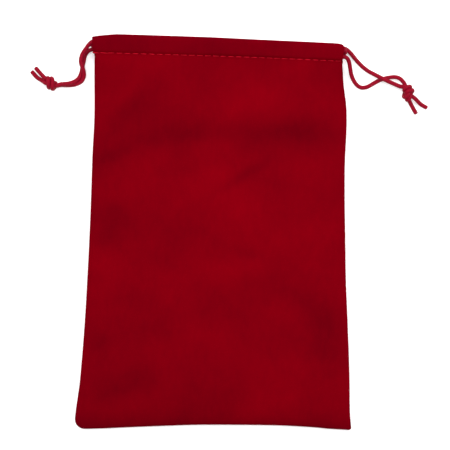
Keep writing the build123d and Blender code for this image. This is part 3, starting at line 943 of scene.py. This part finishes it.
# %% A node tree for a row of stitches
def stitch_row_tree():
    tree = bpy.data.node_groups.new("row of stitches", "GeometryNodeTree")
    face = tree.interface
    face.new_socket("Line", in_out="INPUT", socket_type="NodeSocketGeometry")
    for name, kind in (("Pitch", "Float"), ("Stitch Length", "Float"), ("Thread Width", "Float"),
                       ("Arch", "Float"), ("Unevenness", "Float"), ("Seed", "Int"), ("Thread", "Material")):
        face.new_socket(name, in_out="INPUT", socket_type="NodeSocket" + kind)
    face.new_socket("Stitches", in_out="OUTPUT", socket_type="NodeSocketGeometry")
    node = partial(add_node, tree)
    times = partial(calculate, node, "MULTIPLY")
    given = node("NodeGroupInput").outputs
    line = node("GeometryNodeMeshToCurve", Mesh=given["Line"])
    steps = node("GeometryNodeCurveToPoints", {"mode": "LENGTH"}, Curve=line, Length=given["Pitch"])
    half = times(given["Stitch Length"], 0.5)
    back = times(half, -1.0)
    dive = times(given["Arch"], -1.0)
    start = node("ShaderNodeCombineXYZ", X=back, Z=dive)
    top = node("ShaderNodeCombineXYZ", Z=given["Arch"])
    end = node("ShaderNodeCombineXYZ", X=half, Z=dive)
    arch = node("GeometryNodeCurveQuadraticBezier", Resolution=6, Start=start, Middle=top, End=end)
    radius = times(given["Thread Width"], 0.5)
    round_section = node("GeometryNodeCurvePrimitiveCircle", {"mode": "RADIUS"}, Resolution=6,
                         Radius=radius)
    stitch = node("GeometryNodeCurveToMesh", Curve=arch,
                  Profile_Curve=round_section, Fill_Caps=True)
    aim = node("FunctionNodeAlignRotationToVector", {"axis": "X"}, Vector=steps.outputs["Tangent"])
    least = times(given["Unevenness"], -1.0)
    turn = node("FunctionNodeRandomValue", {"data_type": "FLOAT"}, i2=least,
                i3=given["Unevenness"], Seed=given["Seed"])
    lean = node("ShaderNodeCombineXYZ", Z=turn.outputs[1])
    leaned = node("FunctionNodeRotateEuler", {"space": "LOCAL"}, Rotation=aim, Rotate_By=lean)
    placed = node("GeometryNodeInstanceOnPoints", Points=steps, Instance=stitch, Rotation=leaned)
    real = node("GeometryNodeRealizeInstances", Geometry=placed)
    smooth = node("GeometryNodeSetShadeSmooth", Geometry=real)
    dressed = node("GeometryNodeSetMaterial", Geometry=smooth, Material=given["Thread"])
    node("NodeGroupOutput", Stitches=dressed)
    return tree


STITCH_TREE = stitch_row_tree()
PITCH, STITCH, THREAD = 3.7, 2.7, 0.5  # mm
PROUD, SUNK = 0.14, -0.05  # mm that a stitch arches: on the front, and against the table


def stitch_rows(name, lines, arch=PROUD, seed=1):
    """One object with stitches along each line."""
    points = np.vstack(lines)
    edges, base = [], 0
    for line in lines:
        edges += [(base + i, base + i + 1) for i in range(len(line) - 1)]
        base += len(line)
    made = make_object(name, points, [], edges)
    row = made.modifiers.new("stitches", "NODES")
    row.node_group = STITCH_TREE
    wanted = {"Pitch": PITCH * MM, "Stitch Length": STITCH * MM, "Thread Width": THREAD * MM,
              "Arch": arch * MM, "Unevenness": 0.05, "Seed": seed, "Thread": thread_finish}
    for socket in STITCH_TREE.interface.items_tree:
        if socket.in_out == "INPUT" and socket.name in wanted:
            row[socket.identifier] = wanted[socket.name]
    made.data.update()
    bake_modifiers(made)
    print(name, len(made.data.polygons), "faces")
    return made


# %% [markdown]
# The hem row closes each casing.  It shows on the front as a line of small bright dashes in a
# shallow groove; the row on the back lies against the table.  The machine starts at the left
# side with a few stitches sewn over each other, so that the row cannot come undone.

# %% Lines for the two hem rows
def hem_line(start_x, end_x, front):
    x = np.linspace(start_x, end_x, 60)
    y = along_edge(STITCH_ROW, x)
    if front:
        z = casing_middle(x) + STITCHED_GAP + HALF + 0.02
    else:
        z = np.full_like(x, BACK_Z + BACK_LIFT - HALF + 0.06)
    return np.stack([x, y, z], 1)


HEM_ENDS = {1: 56.2, -1: -63.0}
hem_rows = []
for face, front, arch in (("front", True, PROUD), ("back", False, SUNK)):
    for side, side_name in SIDES:
        lines = [hem_line(MIDDLE_X + side * PITCH / 2, HEM_ENDS[side], front)]
        if front and side < 0:
            lines.append(hem_line(-62.4, -57.5, True) + (0, -0.2, 0))  # sewn over at the start
        row = stitch_rows(f"{face}_hem_stitches_{side_name}", lines, arch, seed=3 + len(hem_rows))
        hem_rows.append((row, f"{face}_hem_stitching", side))

# %% [markdown]
# The bag is sewn inside out and then turned, so what is left outside the side seams ends up
# inside: two raw edges of velvet lying together against the back.  They only show when you look
# into the mouth, but they give the sides their thickness.

# %% Seam allowances and their stitches
ALLOWANCE_IN = [1.5, 2.3, 3.4, 4.6, 6.0, 7.6]
ALLOWANCE_CLOTH = 0.7  # pressed a little thinner than the rest
ALLOWANCE_Z, ALLOWANCE_APART = 1.22, 0.74  # middle of the lower layer, and the upper one above it


def allowance_sheet(side, level):
    y = np.linspace(-80, 85.5, 84)
    inward = np.array(ALLOWANCE_IN)[None] * np.ones((len(y), 1))
    inward[:, -1] += 0.25 * np.sin(y / 5.1 + level) + 0.15 * np.sin(y / 2.3)
    x = along_edge(SIDE_EDGES[side], y)[:, None] - side * inward
    seam = seam_height(y)[:, None]
    low = ALLOWANCE_Z + ALLOWANCE_APART * level
    near = ease(inward, 1.2, 4.0)
    z = (seam + 0.35 * (level - 0.5)) * (1 - near) + low * near + 0.06 * np.sin(y / 7)[:, None] * near
    return np.stack([x, np.broadcast_to(y[:, None], x.shape), z], 2)


def make_allowance(name, side):
    points, faces, uvs = [], [], []
    for level in (0, 1):
        grid = allowance_sheet(side, level)
        rows, width = grid.shape[:2]
        base = len(points)
        points.extend(grid.reshape(-1, 3))
        for corners in grid_cells(rows, width, side):
            faces.append(tuple(base + r * width + c for r, c in corners))
            uvs.extend([grid[r, c, :2] for r, c in corners])
    made = make_object(name, points, faces)
    give_uvs(made, "strip", uvs)
    thicken(made, ALLOWANCE_CLOTH)
    return made


def seam_line(side):
    y = np.linspace(-79, 84, 80)
    x = along_edge(SIDE_EDGES[side], y) - side * 4.3
    z = ALLOWANCE_Z + ALLOWANCE_APART + ALLOWANCE_CLOTH / 2 + 0.05
    return np.stack([x, y, np.full_like(y, z)], 1)


allowances = {side: make_allowance(f"{side_name}_seam_allowance_cloth", side)
              for side, side_name in SIDES}
seam_rows = {side: stitch_rows(f"{side_name}_seam_stitches", [seam_line(side)], seed=7 + side)
             for side, side_name in SIDES}

# %% [markdown]
# ## Lights, table and finish
# The table is plain white.  A wide soft light hangs over the bag and two more stand round it, so
# that no edge throws a hard shadow and the velvet shows its own depth.

# %% Table and lights
TABLE_HALF, TABLE_Z = 3000, -0.02


def build_stage():
    corners = [(x * TABLE_HALF, y * TABLE_HALF, TABLE_Z) for x, y in ((-1, -1), (1, -1), (1, 1), (-1, 1))]
    table = make_object("table", corners, [(0, 1, 2, 3)])
    white, node = new_material("plain_white_card")
    card = node("ShaderNodeBsdfPrincipled", Base_Color=colour("#f4f4f4"), Roughness=0.9,
                Specular_IOR_Level=0.0, Emission_Color=(1, 1, 1, 1), Emission_Strength=0.22)
    finish_material(node, card)
    table.data.materials.append(white)


def soft_light(name, place, size, power):
    """A wide round light that faces the bag."""
    lamp = bpy.data.lights.new(name, "AREA")
    lamp.shape = "DISK"
    lamp.size = size
    lamp.energy = power
    made = bpy.data.objects.new(name, lamp)
    made.location = place
    made.rotation_euler = (-Vector(place)).to_track_quat("-Z", "Y").to_euler()
    made.visible_camera = False
    bpy.context.scene.collection.objects.link(made)


build_stage()
soft_light("overhead softbox", (0.0, 0.25, 1.9), 1.3, 26)
soft_light("window side", (-0.9, 0.9, 1.1), 0.8, 14)
soft_light("far side", (1.0, 0.4, 1.0), 0.8, 10)
world = bpy.data.worlds.new("room")
world.use_nodes = True
backdrop = world.node_tree.nodes["Background"].inputs
backdrop[0].default_value, backdrop[1].default_value = (1, 1, 1, 1), 0.45
bpy.context.scene.world = world
bpy.context.scene.view_settings.view_transform = "Standard"

# %% Give the velvet, seams and hems their finishes
# Each half is listed with the cord body that loops round its end of the mouth and two places:
# where that cord's pull would start to draw the cloth in, and where the cloth would keep up with it.
GATHERED = {
    1: (right_half, "left_drawcord_body", (6.5, 72.5, 0.0), (60.0, 92.0, 0.0)),
    -1: (left_half, "right_drawcord_body", (-10.5, 72.5, 0.0), (-64.0, 92.0, 0.0)),
}
CLOTH_NODES = ("back_panel", "front_panel", "bottom_fold", "back_casing", "front_casing")


for side, side_name in SIDES:
    half, cord_body, blend_start, blend_end = GATHERED[side]
    give(half, velvet, "velvet", None, *CLOTH_NODES)
    give(allowances[side], velvet, "velvet", None, f"{side_name}_seam_allowance")
    give(seam_rows[side], thread_finish, "thread", None, f"{side_name}_seam_stitching")
    pieces = [half, allowances[side], seam_rows[side]]
    for row, node, row_side in hem_rows:
        if row_side == side:
            give(row, thread_finish, "thread", None, node)
            pieces.append(row)
    for piece in pieces:
        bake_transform(piece)
